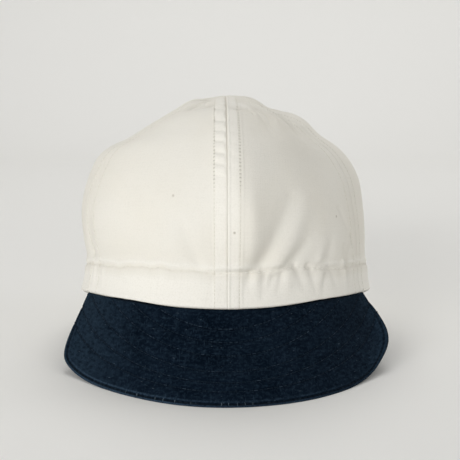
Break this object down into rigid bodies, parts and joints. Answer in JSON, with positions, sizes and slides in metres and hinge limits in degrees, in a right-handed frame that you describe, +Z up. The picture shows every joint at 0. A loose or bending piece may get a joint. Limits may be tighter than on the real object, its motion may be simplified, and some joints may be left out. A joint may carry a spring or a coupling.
{
  "type": "work cap",
  "caption": "Soft canvas work cap with a panelled round crown, a turned-up hem and a stitched down-sloping peak, open below for the head.",
  "frame": {"origin": "on the surface that the cap stands on, under the middle of its bounding box", "axes": "+Z up, the peak at the front towards -Y, +X to the right as seen from the front"},
  "size_m": [0.1792, 0.232, 0.1455],
  "materials": {
    "crown_canvas": "matt ivory cotton canvas",
    "peak_indigo": "matt dark indigo canvas, faded on its ridges"
  },
  "bodies": {
    "root": {"front_panel_left": "crown_canvas", "front_panel_right": "crown_canvas", "side_panel_left": "crown_canvas", "side_panel_right": "crown_canvas", "back_panel_left": "crown_canvas", "back_panel_right": "crown_canvas", "peak_top": "peak_indigo", "peak_under": "peak_indigo"}
  },
  "joints": []
}
